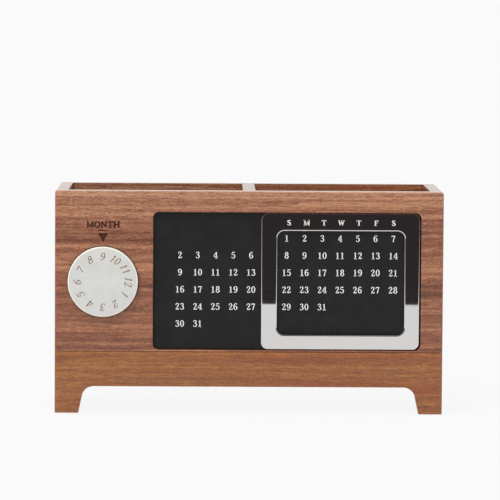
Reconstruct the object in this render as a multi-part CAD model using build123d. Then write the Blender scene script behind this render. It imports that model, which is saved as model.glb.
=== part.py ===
"""A wooden desk organiser: two pen wells behind a front that carries a perpetual calendar, over a shallow drawer.

Millimetres. +X is to the right as the user sees the front, +Y runs from the front to the back, +Z is up.
The origin is at the middle of the bounding box's underside, on the desk. The dial stands proud of the wooden
front, so it is what sets the bounding box's front.
"""

import os
from math import radians, tan

from build123d import *

# ---- the case: front, two sides, back and divider, glued up ------------------------------------------------
CASE_WIDTH = 225.0  # across the front
CASE_DEPTH = 85.0  # from the wooden front face to the wooden back face
CASE_HEIGHT = 130.0  # from the desk to the rim
WALL = 7.5  # sides, back and divider
FRONT_THICKNESS = 9.0  # front panel, and the drawer front under it
EDGE_ROUND = 1.5  # outer edges of the case
RIM_ROUND = 0.5  # inner edges of the rim and the divider's top
GROOVE = 2.5  # how far a board is let into its neighbour
GLUE_LINE = 0.1  # all round a board in its groove
FLOOR_THICKNESS = 4.0  # board under the pen wells
BASE_THICKNESS = 3.0  # board under the drawer

# ---- legs and arches ---------------------------------------------------------------------------------------
ARCH_HEIGHT = 16.4  # from the desk to the underside of the case
ARCH_ROUND = 7.0  # where a leg meets the underside
LEG_SLOPE = 12.0  # degrees from upright, on a leg's inner edge
LEG_WIDTH = 13.7  # a leg's tip, seen from the front
FOOT_LENGTH = 18.0  # a leg's tip, seen from the side
PAD_THICKNESS = 0.8  # felt pads carry the case, so the drawer front's legs clear the desk by this much
PAD_WIDTH = 5.5
PAD_LENGTH = 7.0
PAD_ROUND = 1.2

# ---- the drawer --------------------------------------------------------------------------------------------
BASE_UP = 2.0  # from the underside of the case to the board that the drawer slides on
FINGER_ROOM = 15.0  # from the drawer front's back to that board, for the fingertips that pull the drawer
DRAWER_LIFT = 0.3  # running gap under the drawer
DRAWER_BOX_HEIGHT = 14.6
DRAWER_TOP_GAP = 0.6  # running gap over the drawer
DRAWER_SIDE_GAP = 0.5  # running gap at each side
DRAWER_BACK_GAP = 1.0  # behind the closed drawer
SEAM_GAP = 0.3  # the line that shows between the front panel and the drawer front
DRAWER_SEAT_GAP = 0.2  # between the closed drawer front and the ends of the side panels
DRAWER_WALL = 5.0
DRAWER_BOTTOM = 2.5
DRAWER_BOTTOM_UP = 1.0  # from the box's underside to its bottom board
DRAWER_GROOVE = 2.0

# ---- the sliding calendar ----------------------------------------------------------------------------------
COLUMN_PITCH = 10.3  # the printed dates stand this far apart
COLUMNS_TO_SLIDE = 6  # a month can start on any of 7 weekdays
SLIDER_WIDTH = 91.9
SLIDER_THICKNESS = 2.0
SLIDER_LEFT_BAR = 9.3
SLIDER_RIGHT_BAR = 8.9
SLIDER_TOP_BAR = 10.3
SLIDER_BOTTOM_BAR = 8.6
SLIDER_CORNER = 4.0
WINDOW_CORNER = 4.2
SLIDER_BEVEL = 0.7  # polished edges of the slider's front
SLIDER_END_GAP = 0.8  # to the pocket's end wall, at either end of the travel
SLIDER_RAIL_GAP = 0.4  # to the pocket's top and bottom walls, which guide the slider
SLIDER_BACK_GAP = 0.1  # between the slider and the plate
SLIDER_SINK = 0.3  # from the wooden front face back to the slider's
PLATE_THICKNESS = 1.5
PLATE_GAP = 0.15  # between the plate's edge and the pocket's wall
POCKET_LIP = 0.9  # wood left under the pocket
POCKET_TOP_MARGIN = 12.2  # wood above the pocket
POCKET_RIGHT_MARGIN = 12.85  # wood right of the pocket
POCKET_CORNER = 3.6
POCKET_EDGE = 0.3  # the pocket's front edge is broken by this much
MAGNET_DIAMETER = 5.0
MAGNET_THICKNESS = 1.2

# ---- the month dial ----------------------------------------------------------------------------------------
DIAL_DIAMETER = 40.6
DIAL_PROUD = 4.0  # from the wooden front face to the dial's face
DIAL_FROM_LEFT = 27.9  # from the case's left side to the dial's centre
DIAL_FROM_RIM = 52.6  # from the rim down to the dial's centre
DIAL_CHAMFER = 0.5
DIAL_BACK_GAP = 0.6  # between the dial and the wood, nearly filled by the felt washer
FELT_WASHER_THICKNESS = 0.5
FELT_BEYOND_DIAL = 0.45  # the dark line that shows round the dial
FELT_WASHER_DIAMETER = DIAL_DIAMETER + 2 * FELT_BEYOND_DIAL
SPINDLE_DIAMETER = 4.0
SPINDLE_IN_DIAL = 2.4  # how far the spindle is pressed into the dial
SPINDLE_TAIL = 0.6  # past the retaining clip
BUSH_DIAMETER = 7.0
BUSH_FLANGE_DIAMETER = 10.5
BUSH_FLANGE_THICKNESS = 1.0
RECESS_DIAMETER = 15.0  # behind the front panel, for the clip
RECESS_DEPTH = 4.0
THRUST_WASHER_DIAMETER = 9.0
THRUST_WASHER_THICKNESS = 0.5
CLIP_DIAMETER = 8.0
CLIP_THICKNESS = 0.7
CLIP_GROOVE_DEPTH = 0.4
CLIP_MOUTH = 2.6  # the open side that slips over the spindle
RUNNING_GAP = 0.05  # a turning spindle in its hole
PRESS_GAP = 0.02  # a pressed or glued piece in its hole
END_GAP = 0.1  # end play between pieces that turn past each other

# ---- dowels ------------------------------------------------------------------------------------------------
DOWEL_DIAMETER = 4.0
DOWEL_IN_FRONT = 5.0  # into the front panel's back
DOWEL_IN_SIDE_END = 9.0  # into a side panel's front end
DOWEL_IN_SIDE_FACE = 4.5  # into a side panel's inner face
DOWEL_IN_BACK = 8.0  # into the back panel's end
DOWEL_EDGE = 12.0  # from a joint's end to the first dowel
DOWELS_PER_JOINT = 3
DRAWER_DOWEL_DIAMETER = 2.5
DRAWER_DOWEL_IN_FRONT = 5.0
DRAWER_DOWEL_IN_SIDE = 8.0

# ---- places worked out from the sizes ----------------------------------------------------------------------
X_OUTER = CASE_WIDTH / 2
X_INNER = X_OUTER - WALL
X_WALL = X_OUTER - WALL / 2  # middle of a side panel
Y_FRONT = DIAL_PROUD - (CASE_DEPTH + DIAL_PROUD) / 2
Y_FRONT_INNER = Y_FRONT + FRONT_THICKNESS
Y_BACK = Y_FRONT + CASE_DEPTH
Y_BACK_INNER = Y_BACK - WALL
Y_BASE = Y_FRONT_INNER + FINGER_ROOM
Z_LEG = PAD_THICKNESS
Z_BASE = ARCH_HEIGHT + BASE_UP
Z_BASE_TOP = Z_BASE + BASE_THICKNESS
Z_BOX = Z_BASE_TOP + DRAWER_LIFT
Z_BOX_TOP = Z_BOX + DRAWER_BOX_HEIGHT
Z_FLOOR = Z_BOX_TOP + DRAWER_TOP_GAP  # also the front panel's lower edge
Z_WELL = Z_FLOOR + FLOOR_THICKNESS
Z_DRAWER_FRONT_TOP = Z_FLOOR - SEAM_GAP

SLIDER_TRAVEL = COLUMNS_TO_SLIDE * COLUMN_PITCH
POCKET_WIDTH = SLIDER_WIDTH + SLIDER_TRAVEL + 2 * SLIDER_END_GAP
POCKET_HEIGHT = CASE_HEIGHT - POCKET_TOP_MARGIN - Z_FLOOR - POCKET_LIP
SLIDER_HEIGHT = POCKET_HEIGHT - 2 * SLIDER_RAIL_GAP
POCKET_DEPTH = PLATE_THICKNESS + SLIDER_BACK_GAP + SLIDER_THICKNESS + SLIDER_SINK
X_POCKET_RIGHT = X_OUTER - POCKET_RIGHT_MARGIN
X_POCKET = X_POCKET_RIGHT - POCKET_WIDTH / 2
Z_POCKET = Z_FLOOR + POCKET_LIP + POCKET_HEIGHT / 2
Y_PLATE = Y_FRONT + POCKET_DEPTH - PLATE_THICKNESS  # the plate's printed face
Y_SLIDER = Y_FRONT + SLIDER_SINK  # the slider's face
X_SLIDER_RIGHT = X_POCKET_RIGHT - SLIDER_END_GAP
X_SLIDER_LEFT = X_SLIDER_RIGHT - SLIDER_WIDTH
Z_SLIDER_BOTTOM = Z_POCKET - SLIDER_HEIGHT / 2
Z_SLIDER_TOP = Z_POCKET + SLIDER_HEIGHT / 2

X_DIAL = DIAL_FROM_LEFT - X_OUTER
Z_DIAL = CASE_HEIGHT - DIAL_FROM_RIM
Y_DIAL_BACK = Y_FRONT - DIAL_BACK_GAP
Y_RECESS = Y_FRONT_INNER - RECESS_DEPTH
Y_BUSH_BACK = Y_RECESS + BUSH_FLANGE_THICKNESS
Y_THRUST = Y_BUSH_BACK + END_GAP
Y_CLIP = Y_THRUST + THRUST_WASHER_THICKNESS + END_GAP
Y_SPINDLE_END = Y_CLIP + CLIP_THICKNESS + SPINDLE_TAIL

Y_DRAWER_FRONT_BACK = Y_FRONT_INNER - DRAWER_SEAT_GAP
Y_BOX_BACK = Y_BACK_INNER - DRAWER_BACK_GAP
X_BOX = X_INNER - DRAWER_SIDE_GAP
X_BOX_INNER = X_BOX - DRAWER_WALL
Z_BOX_BOTTOM = Z_BOX + DRAWER_BOTTOM_UP
Z_DRAWER_DOWEL = (Z_BOX_BOTTOM + DRAWER_BOTTOM + Z_BOX_TOP) / 2


# ---- shapes that several pieces use ------------------------------------------------------------------------
def block(x, y, z):
    """A box between two x, two y and two z."""
    size = Box(x[1] - x[0], y[1] - y[0], z[1] - z[0])
    return Pos((x[0] + x[1]) / 2, (y[0] + y[1]) / 2, (z[0] + z[1]) / 2) * size


def front_plane(y):
    """Drawn on as the front is seen: x to the right, then z up. Extruding goes towards the back."""
    return Plane(origin=(0, y, 0), x_dir=(1, 0, 0), z_dir=(0, -1, 0))


def slab(outline, y, thickness):
    """An outline in x and z, made thickness deep from y towards the back."""
    return extrude(front_plane(y) * outline, amount=-thickness)


def rounded(x, z, corner):
    """A rounded rectangle between two x and two z, for slab()."""
    shape = RectangleRounded(x[1] - x[0], z[1] - z[0], corner)
    return Pos((x[0] + x[1]) / 2, (z[0] + z[1]) / 2) * shape


def pin(diameter, y, length, x, z):
    """A cylinder along Y, from y towards the back."""
    return slab(Pos(x, z) * Circle(diameter / 2), y, length)


def ring(outer, inner, y, length, x, z):
    """A tube along Y."""
    return pin(outer, y, length, x, z) - pin(inner, y, length, x, z)


def arch(low, high):
    """The space between two leg tips at low and high, along the first axis of a board's face, up to the underside."""
    drop = PAD_THICKNESS  # the cut starts below the leg tips
    lean = tan(radians(LEG_SLOPE))
    rise = ARCH_HEIGHT - Z_LEG
    corners = [
        (low - lean * drop, Z_LEG - drop),
        (high + lean * drop, Z_LEG - drop),
        (high - lean * rise, ARCH_HEIGHT),
        (low + lean * rise, ARCH_HEIGHT),
    ]
    outline = make_face(Polyline(*corners, close=True))
    top_corners = outline.vertices().sort_by(Axis.Y)[-2:]
    return fillet(top_corners, ARCH_ROUND)


def edges_at(shape, direction, **places):
    """The straight edges along a direction whose middle is at the given x, y or z."""
    found = shape.edges().filter_by(direction)
    return [e for e in found if all(abs(getattr(e.center(), n.upper()) - v) < 1e-3 for n, v in places.items())]


def dowel_heights(low, high):
    """Evenly spaced, with the end ones DOWEL_EDGE inside a joint from low to high."""
    step = (high - low - 2 * DOWEL_EDGE) / (DOWELS_PER_JOINT - 1)
    return [low + DOWEL_EDGE + i * step for i in range(DOWELS_PER_JOINT)]


# ---- the case ----------------------------------------------------------------------------------------------
def front_dowels(gap=0.0):
    """Dowels between the front panel and the ends of the side panels. With a gap, the holes for them."""
    length = DOWEL_IN_FRONT + DOWEL_IN_SIDE_END + 2 * gap
    return [
        pin(DOWEL_DIAMETER + 2 * gap, Y_FRONT_INNER - DOWEL_IN_FRONT - gap, length, side * X_WALL, z)
        for side in (-1, 1)
        for z in dowel_heights(Z_WELL, CASE_HEIGHT)
    ]


def back_dowels(gap=0.0):
    """Dowels between the back panel's ends and the side panels. With a gap, the holes for them."""
    length = DOWEL_IN_SIDE_FACE + DOWEL_IN_BACK + 2 * gap
    middle = X_INNER + (DOWEL_IN_SIDE_FACE - DOWEL_IN_BACK) / 2
    rod = Rot(0, 90, 0) * Cylinder(DOWEL_DIAMETER / 2 + gap, length)
    return [
        Pos(side * middle, Y_BACK - WALL / 2, z) * rod
        for side in (-1, 1)
        for z in dowel_heights(Z_WELL, CASE_HEIGHT)
    ]


def divider_groove(y):
    """The slot for one end of the divider, between two y."""
    half = WALL / 2 + GLUE_LINE
    return block((-half, half), y, (Z_WELL - GLUE_LINE, CASE_HEIGHT + 1))


def floor_groove():
    """The slot for the pen wells' floor. It stops short of every outer face."""
    y = (Y_FRONT_INNER - GROOVE, Y_BACK_INNER + GROOVE)
    return block((-X_INNER - GROOVE, X_INNER + GROOVE), y, (Z_FLOOR - GLUE_LINE, Z_WELL + GLUE_LINE))


def base_groove():
    """The slot for the board under the drawer."""
    y = (Y_BASE, Y_BACK_INNER + GROOVE)
    return block((-X_INNER - GROOVE, X_INNER + GROOVE), y, (Z_BASE - GLUE_LINE, Z_BASE_TOP + GLUE_LINE))


def front_panel():
    """Calendar pocket and dial hole in front, grooves and the clip's recess behind."""
    panel = block((-X_OUTER, X_OUTER), (Y_FRONT, Y_FRONT_INNER), (Z_FLOOR, CASE_HEIGHT))
    outer = edges_at(panel, Axis.X, y=Y_FRONT, z=CASE_HEIGHT)
    for side in (-X_OUTER, X_OUTER):
        outer += edges_at(panel, Axis.Z, x=side, y=Y_FRONT)
        outer += edges_at(panel, Axis.Y, x=side, z=CASE_HEIGHT)
    panel = fillet(outer, EDGE_ROUND)
    x = (X_POCKET_RIGHT - POCKET_WIDTH, X_POCKET_RIGHT)
    z = (Z_POCKET - POCKET_HEIGHT / 2, Z_POCKET + POCKET_HEIGHT / 2)
    pocket = slab(rounded(x, z, POCKET_CORNER), Y_FRONT, POCKET_DEPTH)
    panel -= pocket
    rim = [e for e in panel.faces().sort_by(Axis.Y)[0].inner_wires()[0].edges()]
    panel = chamfer(rim, POCKET_EDGE)
    panel -= pin(BUSH_DIAMETER + 2 * PRESS_GAP, Y_FRONT, FRONT_THICKNESS, X_DIAL, Z_DIAL)
    panel -= pin(RECESS_DIAMETER, Y_RECESS, RECESS_DEPTH, X_DIAL, Z_DIAL)
    panel -= divider_groove((Y_FRONT_INNER - GROOVE, Y_FRONT_INNER))
    panel -= floor_groove()
    return panel - front_dowels(PRESS_GAP)


def side_panel(side):
    """side is -1 for the left and 1 for the right. Its two legs reach the felt pads."""
    low_x, high_x = sorted((side * X_INNER, side * X_OUTER))
    panel = block((low_x, high_x), (Y_FRONT_INNER, Y_BACK), (Z_LEG, CASE_HEIGHT))
    outer = edges_at(panel, Axis.Y, x=side * X_OUTER, z=CASE_HEIGHT)
    outer += edges_at(panel, Axis.Z, x=side * X_OUTER, y=Y_BACK)
    outer += edges_at(panel, Axis.X, y=Y_BACK, z=CASE_HEIGHT)
    panel = fillet(outer, EDGE_ROUND)
    face = Plane(origin=(low_x, 0, 0), x_dir=(0, 1, 0), z_dir=(1, 0, 0))
    panel -= extrude(face * arch(Y_FRONT + FOOT_LENGTH, Y_BACK - FOOT_LENGTH), amount=WALL)
    panel -= floor_groove()
    panel -= base_groove()
    panel -= front_dowels(PRESS_GAP)
    return panel - back_dowels(PRESS_GAP)


def back_panel():
    """Between the side panels, over the arch."""
    panel = block((-X_INNER, X_INNER), (Y_BACK_INNER, Y_BACK), (ARCH_HEIGHT, CASE_HEIGHT))
    panel = fillet(edges_at(panel, Axis.X, y=Y_BACK, z=CASE_HEIGHT), EDGE_ROUND)
    panel -= divider_groove((Y_BACK_INNER, Y_BACK_INNER + GROOVE))
    panel -= floor_groove()
    panel -= base_groove()
    return panel - back_dowels(PRESS_GAP)


def centre_divider():
    """Let into the front and back panels, and standing on the floor board."""
    y = (Y_FRONT_INNER - GROOVE + GLUE_LINE, Y_BACK_INNER + GROOVE - GLUE_LINE)
    board = block((-WALL / 2, WALL / 2), y, (Z_WELL, CASE_HEIGHT))
    top = edges_at(board, Axis.Y, z=CASE_HEIGHT)
    return fillet(top, RIM_ROUND)


def compartment_floor():
    """Floor of both pen wells and roof over the drawer."""
    reach = GROOVE - GLUE_LINE
    y = (Y_FRONT_INNER - reach, Y_BACK_INNER + reach)
    return block((-X_INNER - reach, X_INNER + reach), y, (Z_FLOOR, Z_WELL))


def drawer_base():
    """The board that the drawer slides on. It is set back, so that fingers reach behind the drawer front's edge."""
    reach = GROOVE - GLUE_LINE
    y = (Y_BASE + GLUE_LINE, Y_BACK_INNER + reach)
    return block((-X_INNER - reach, X_INNER + reach), y, (Z_BASE, Z_BASE_TOP))


def foot_pads():
    """One felt pad under each leg of the side panels."""
    outline = RectangleRounded(PAD_WIDTH, PAD_LENGTH, PAD_ROUND)
    front_y = (Y_FRONT_INNER + Y_FRONT + FOOT_LENGTH) / 2
    back_y = Y_BACK - FOOT_LENGTH / 2
    return [
        extrude(Pos(x, y) * outline, amount=PAD_THICKNESS)
        for x in (-X_WALL, X_WALL)
        for y in (front_y, back_y)
    ]


# ---- the calendar ------------------------------------------------------------------------------------------
def date_plate():
    """Sheet steel, glued into the pocket's floor. The dates are printed on it."""
    x = (X_POCKET_RIGHT - POCKET_WIDTH + PLATE_GAP, X_POCKET_RIGHT - PLATE_GAP)
    half = POCKET_HEIGHT / 2 - PLATE_GAP
    outline = rounded(x, (Z_POCKET - half, Z_POCKET + half), POCKET_CORNER - PLATE_GAP)
    return slab(outline, Y_PLATE, PLATE_THICKNESS)


def slider_magnets(gap=0.0):
    """One in each corner of the slider's back. With a gap, the holes for them."""
    y = Y_SLIDER + SLIDER_THICKNESS - MAGNET_THICKNESS
    return [
        pin(MAGNET_DIAMETER + 2 * gap, y - gap, MAGNET_THICKNESS + gap, x, z)
        for x in (X_SLIDER_LEFT + SLIDER_LEFT_BAR / 2, X_SLIDER_RIGHT - SLIDER_RIGHT_BAR / 2)
        for z in (Z_SLIDER_BOTTOM + SLIDER_BOTTOM_BAR / 2, Z_SLIDER_TOP - SLIDER_TOP_BAR / 2)
    ]


def weekday_slider():
    """The polished frame. The month's days show through its window, under the weekday letters on its top bar."""
    outer = rounded((X_SLIDER_LEFT, X_SLIDER_RIGHT), (Z_SLIDER_BOTTOM, Z_SLIDER_TOP), SLIDER_CORNER)
    window_x = (X_SLIDER_LEFT + SLIDER_LEFT_BAR, X_SLIDER_RIGHT - SLIDER_RIGHT_BAR)
    window_z = (Z_SLIDER_BOTTOM + SLIDER_BOTTOM_BAR, Z_SLIDER_TOP - SLIDER_TOP_BAR)
    frame = slab(outer - rounded(window_x, window_z, WINDOW_CORNER), Y_SLIDER, SLIDER_THICKNESS)
    frame = fillet(frame.faces().sort_by(Axis.Y)[0].edges(), SLIDER_BEVEL)
    return frame - slider_magnets(PRESS_GAP)


# ---- the dial ----------------------------------------------------------------------------------------------
def month_dial():
    """A disc that turns by hand, with a blind hole behind for its spindle."""
    thickness = DIAL_PROUD - DIAL_BACK_GAP
    disc = pin(DIAL_DIAMETER, Y_FRONT - DIAL_PROUD, thickness, X_DIAL, Z_DIAL)
    disc = chamfer(disc.edges().filter_by(GeomType.CIRCLE).sort_by(Axis.Y)[0], DIAL_CHAMFER)
    hole = SPINDLE_IN_DIAL + PRESS_GAP
    return disc - pin(SPINDLE_DIAMETER + 2 * PRESS_GAP, Y_DIAL_BACK - hole, hole, X_DIAL, Z_DIAL)


def dial_spindle():
    """Pressed into the dial, through the bush, with a groove for the clip."""
    start = Y_DIAL_BACK - SPINDLE_IN_DIAL
    rod = pin(SPINDLE_DIAMETER, start, Y_SPINDLE_END - start, X_DIAL, Z_DIAL)
    neck = SPINDLE_DIAMETER - 2 * CLIP_GROOVE_DEPTH
    width = CLIP_THICKNESS + 2 * END_GAP
    return rod - ring(SPINDLE_DIAMETER + 1, neck, Y_CLIP - END_GAP, width, X_DIAL, Z_DIAL)


def dial_felt_washer():
    """Stuck to the dial's back. It gives the dial its drag."""
    inner = SPINDLE_DIAMETER + 4 * RUNNING_GAP
    return ring(FELT_WASHER_DIAMETER, inner, Y_DIAL_BACK, FELT_WASHER_THICKNESS, X_DIAL, Z_DIAL)


def dial_bush():
    """Pressed into the front panel from behind."""
    length = Y_RECESS - Y_FRONT
    sleeve = pin(BUSH_DIAMETER, Y_FRONT, length, X_DIAL, Z_DIAL)
    sleeve += pin(BUSH_FLANGE_DIAMETER, Y_RECESS, BUSH_FLANGE_THICKNESS, X_DIAL, Z_DIAL)
    bore = SPINDLE_DIAMETER + 2 * RUNNING_GAP
    return sleeve - pin(bore, Y_FRONT, length + BUSH_FLANGE_THICKNESS, X_DIAL, Z_DIAL)


def thrust_washer():
    """Between the bush and the clip."""
    inner = SPINDLE_DIAMETER + 2 * RUNNING_GAP
    return ring(THRUST_WASHER_DIAMETER, inner, Y_THRUST, THRUST_WASHER_THICKNESS, X_DIAL, Z_DIAL)


def spindle_clip():
    """An open ring in the spindle's groove."""
    inner = SPINDLE_DIAMETER - 2 * CLIP_GROOVE_DEPTH + 2 * RUNNING_GAP
    clip = ring(CLIP_DIAMETER, inner, Y_CLIP, CLIP_THICKNESS, X_DIAL, Z_DIAL)
    mouth_x = (X_DIAL - CLIP_MOUTH / 2, X_DIAL + CLIP_MOUTH / 2)
    return clip - block(mouth_x, (Y_CLIP - 1, Y_CLIP + CLIP_THICKNESS + 1), (Z_DIAL - CLIP_DIAMETER, Z_DIAL))


# ---- the drawer --------------------------------------------------------------------------------------------
def drawer_dowels(gap=0.0):
    """Between the drawer front and the ends of the drawer's sides. With a gap, the holes for them."""
    length = DRAWER_DOWEL_IN_FRONT + DRAWER_DOWEL_IN_SIDE + 2 * gap
    y = Y_DRAWER_FRONT_BACK - DRAWER_DOWEL_IN_FRONT - gap
    x = X_BOX - DRAWER_WALL / 2
    return [pin(DRAWER_DOWEL_DIAMETER + 2 * gap, y, length, side * x, Z_DRAWER_DOWEL) for side in (-1, 1)]


def drawer_bottom_groove():
    """The slot for the drawer's bottom board."""
    x = X_BOX_INNER + DRAWER_GROOVE
    y = (Y_DRAWER_FRONT_BACK - DRAWER_GROOVE, Y_BOX_BACK - DRAWER_WALL + DRAWER_GROOVE)
    return block((-x, x), y, (Z_BOX_BOTTOM - GLUE_LINE, Z_BOX_BOTTOM + DRAWER_BOTTOM + GLUE_LINE))


def drawer_front():
    """The whole lower front with its two legs. It is pulled by the edge of its arch."""
    board = block((-X_OUTER, X_OUTER), (Y_FRONT, Y_DRAWER_FRONT_BACK), (Z_LEG, Z_DRAWER_FRONT_TOP))
    corners = []
    for side in (-X_OUTER, X_OUTER):
        corners += edges_at(board, Axis.Z, x=side, y=Y_FRONT)
    board = fillet(corners, EDGE_ROUND)
    board -= slab(arch(LEG_WIDTH - X_OUTER, X_OUTER - LEG_WIDTH), Y_FRONT, FRONT_THICKNESS)
    board -= drawer_bottom_groove()
    return board - drawer_dowels(PRESS_GAP)


def drawer_side(side):
    """side is -1 for the left and 1 for the right."""
    low_x, high_x = sorted((side * X_BOX_INNER, side * X_BOX))
    board = block((low_x, high_x), (Y_DRAWER_FRONT_BACK, Y_BOX_BACK), (Z_BOX, Z_BOX_TOP))
    board -= drawer_bottom_groove()
    return board - drawer_dowels(PRESS_GAP)


def drawer_back():
    """Between the drawer's sides."""
    y = (Y_BOX_BACK - DRAWER_WALL, Y_BOX_BACK)
    return block((-X_BOX_INNER, X_BOX_INNER), y, (Z_BOX, Z_BOX_TOP)) - drawer_bottom_groove()


def drawer_bottom():
    """Let into the front, the sides and the back."""
    reach = DRAWER_GROOVE - GLUE_LINE
    x = X_BOX_INNER + reach
    y = (Y_DRAWER_FRONT_BACK - reach, Y_BOX_BACK - DRAWER_WALL + reach)
    return block((-x, x), y, (Z_BOX_BOTTOM, Z_BOX_BOTTOM + DRAWER_BOTTOM))


def pieces():
    """Every node's name and its shape."""
    return {
        "front_panel": front_panel(),
        "left_side_panel": side_panel(-1),
        "right_side_panel": side_panel(1),
        "back_panel": back_panel(),
        "centre_divider": centre_divider(),
        "compartment_floor": compartment_floor(),
        "drawer_base": drawer_base(),
        "foot_pads": Compound(foot_pads()),
        "front_panel_dowels": Compound(front_dowels()),
        "back_panel_dowels": Compound(back_dowels()),
        "date_plate": date_plate(),
        "weekday_slider": weekday_slider(),
        "slider_magnets": Compound(slider_magnets()),
        "month_dial": month_dial(),
        "dial_spindle": dial_spindle(),
        "dial_felt_washer": dial_felt_washer(),
        "dial_bush": dial_bush(),
        "thrust_washer": thrust_washer(),
        "spindle_clip": spindle_clip(),
        "drawer_front": drawer_front(),
        "drawer_left_side": drawer_side(-1),
        "drawer_right_side": drawer_side(1),
        "drawer_back": drawer_back(),
        "drawer_bottom": drawer_bottom(),
        "drawer_dowels": Compound(drawer_dowels()),
    }


def main():
    os.makedirs("parts", exist_ok=True)
    for node, shape in pieces().items():
        export_step(shape, f"parts/{node}.step")


if __name__ == "__main__":
    main()
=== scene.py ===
"""Looks for the wooden desk calendar: veneers, the printed dates, the mirror-polished slider, the dial and its marks.

Metres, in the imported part's own frame: +X right, +Y to the back, +Z up, origin on the desk. Sizes that a maker would
give in millimetres are written in millimetres and multiplied by MM.
"""

from math import cos, pi, sin

import bmesh
import bpy
from mathutils import Matrix, Vector


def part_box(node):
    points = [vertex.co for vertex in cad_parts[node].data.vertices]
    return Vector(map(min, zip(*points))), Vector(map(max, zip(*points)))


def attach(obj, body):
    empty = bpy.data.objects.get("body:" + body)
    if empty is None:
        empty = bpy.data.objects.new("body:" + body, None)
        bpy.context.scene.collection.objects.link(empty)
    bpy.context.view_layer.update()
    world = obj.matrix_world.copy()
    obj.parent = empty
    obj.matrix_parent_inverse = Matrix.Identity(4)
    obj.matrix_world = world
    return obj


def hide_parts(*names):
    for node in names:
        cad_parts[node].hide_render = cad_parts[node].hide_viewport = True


MM = 0.001

# ---- places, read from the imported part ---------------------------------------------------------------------
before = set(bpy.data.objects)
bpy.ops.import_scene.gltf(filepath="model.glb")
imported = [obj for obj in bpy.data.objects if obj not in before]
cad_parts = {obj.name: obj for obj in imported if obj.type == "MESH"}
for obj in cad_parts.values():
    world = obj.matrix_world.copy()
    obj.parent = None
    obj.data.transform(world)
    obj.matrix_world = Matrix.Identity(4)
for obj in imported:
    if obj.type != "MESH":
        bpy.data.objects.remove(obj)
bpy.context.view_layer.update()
front_low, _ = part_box("front_panel")
plate_low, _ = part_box("date_plate")
slider_low, slider_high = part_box("weekday_slider")
dial_low, dial_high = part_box("month_dial")
DIAL_X = (dial_low[0] + dial_high[0]) / 2
DIAL_Z = (dial_low[2] + dial_high[2]) / 2

# ---- printed and engraved marks ----------------------------------------------------------------------------
INK_THICKNESS = 0.03 * MM
# The dial's bright ring is a painted highlight; DIAL_HIGHLIGHT_RING is how wide it is.
DIAL_HIGHLIGHT_RING = 0.65 * MM  # the bright ring on the dial's edge
COLUMN_PITCH = 10.3 * MM
ROW_PITCH = 9.97 * MM
COLUMNS = 13
ROWS = 6
FIRST_COLUMN_X = -40.1 * MM
FIRST_ROW_Z = 102.8 * MM
DATE_HEIGHT = 3.85 * MM
DATE_ADVANCE = 2.75 * MM  # from one digit of a date to the next
WEEKDAYS = "SMTWTFS"
WEEKDAY_PITCH = 0.98 * COLUMN_PITCH
WEEKDAY_HEIGHT = 3.1 * MM
WEEKDAY_BELOW_TOP = 5.4 * MM  # from the slider's upper edge to the middle of its letters
FIRST_WEEKDAY_FROM_LEFT = 16.05 * MM
MONTHS = 12
MONTH_ON_TOP = 9
MONTH_NUMBER_HEIGHT = 4.4 * MM
MONTH_NUMBER_ADVANCE = 2.95 * MM
MONTH_NUMBER_RADIUS = 14.7 * MM
LABEL = "MONTH"
LABEL_HEIGHT = 3.5 * MM
LABEL_WIDTH = 19.3 * MM
LABEL_ABOVE_DIAL = 33.0 * MM  # from the dial's centre to the middle of the word
ENGRAVED = 0.45 * MM  # how deep the label, the bar and the pointer are cut
POINTER_WIDTH = 5.6 * MM
POINTER_TOP = 28.0 * MM  # above the dial's centre
POINTER_TIP = 22.6 * MM
BAR_ABOVE_DIAL = 29.5 * MM
BAR_HEIGHT = 0.6 * MM


# ---- helpers for node trees --------------------------------------------------------------------------------
MATH = "ShaderNodeMath"
VECTOR_MATH = "ShaderNodeVectorMath"
MAP_RANGE = "ShaderNodeMapRange"  # its first five inputs are the value, from low, from high, to low, to high
COLOUR_RAMP = "ShaderNodeValToRGB"
MIX = "ShaderNodeMix"  # for colours, its inputs 0, 6 and 7 are the factor and the two colours, and output 2 the result
MIDDLE = (0.3, 0.7)  # most of a noise lies between these


def hex_colour(code):
    """An sRGB hex colour as linear values for a shader."""
    channels = [int(code[i : i + 2], 16) / 255 for i in (0, 2, 4)]
    linear = [((c + 0.055) / 1.055) ** 2.4 if c > 0.04045 else c / 12.92 for c in channels]
    return (*linear, 1.0)


def wire(tree, node, inputs):
    """Fills a node's inputs, by name or number. A value that is a socket is linked."""
    for key, value in inputs.items():
        if isinstance(value, bpy.types.NodeSocket):
            tree.links.new(value, node.inputs[key])
        else:
            node.inputs[key].default_value = value


def add(tree, kind, *values, named=None, out=0, stops=(), **settings):
    """Adds a node with its settings and links, and returns one of its outputs.

    values fill its inputs from the first on, named fills inputs by name or number, and stops are a colour ramp's,
    in order: (place, sRGB hex), or (place, number) for a tone.
    """
    node = tree.nodes.new(kind)
    for name, value in settings.items():
        setattr(node, name, value)
    wire(tree, node, {**dict(enumerate(values)), **(named or {})})
    for index, (place, tone) in enumerate(stops):
        element = node.color_ramp.elements[index] if index < 2 else node.color_ramp.elements.new(place)
        element.position = place
        element.color = hex_colour(tone) if isinstance(tone, str) else (tone, tone, tone, 1.0)
    return node.outputs[out] if node.outputs else node


def weighted(tree, start, *terms):
    """start plus each term's (weight, value)."""
    total = start
    for weight, value in terms:
        total = add(tree, MATH, value, weight, total, operation="MULTIPLY_ADD")
    return total


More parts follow.
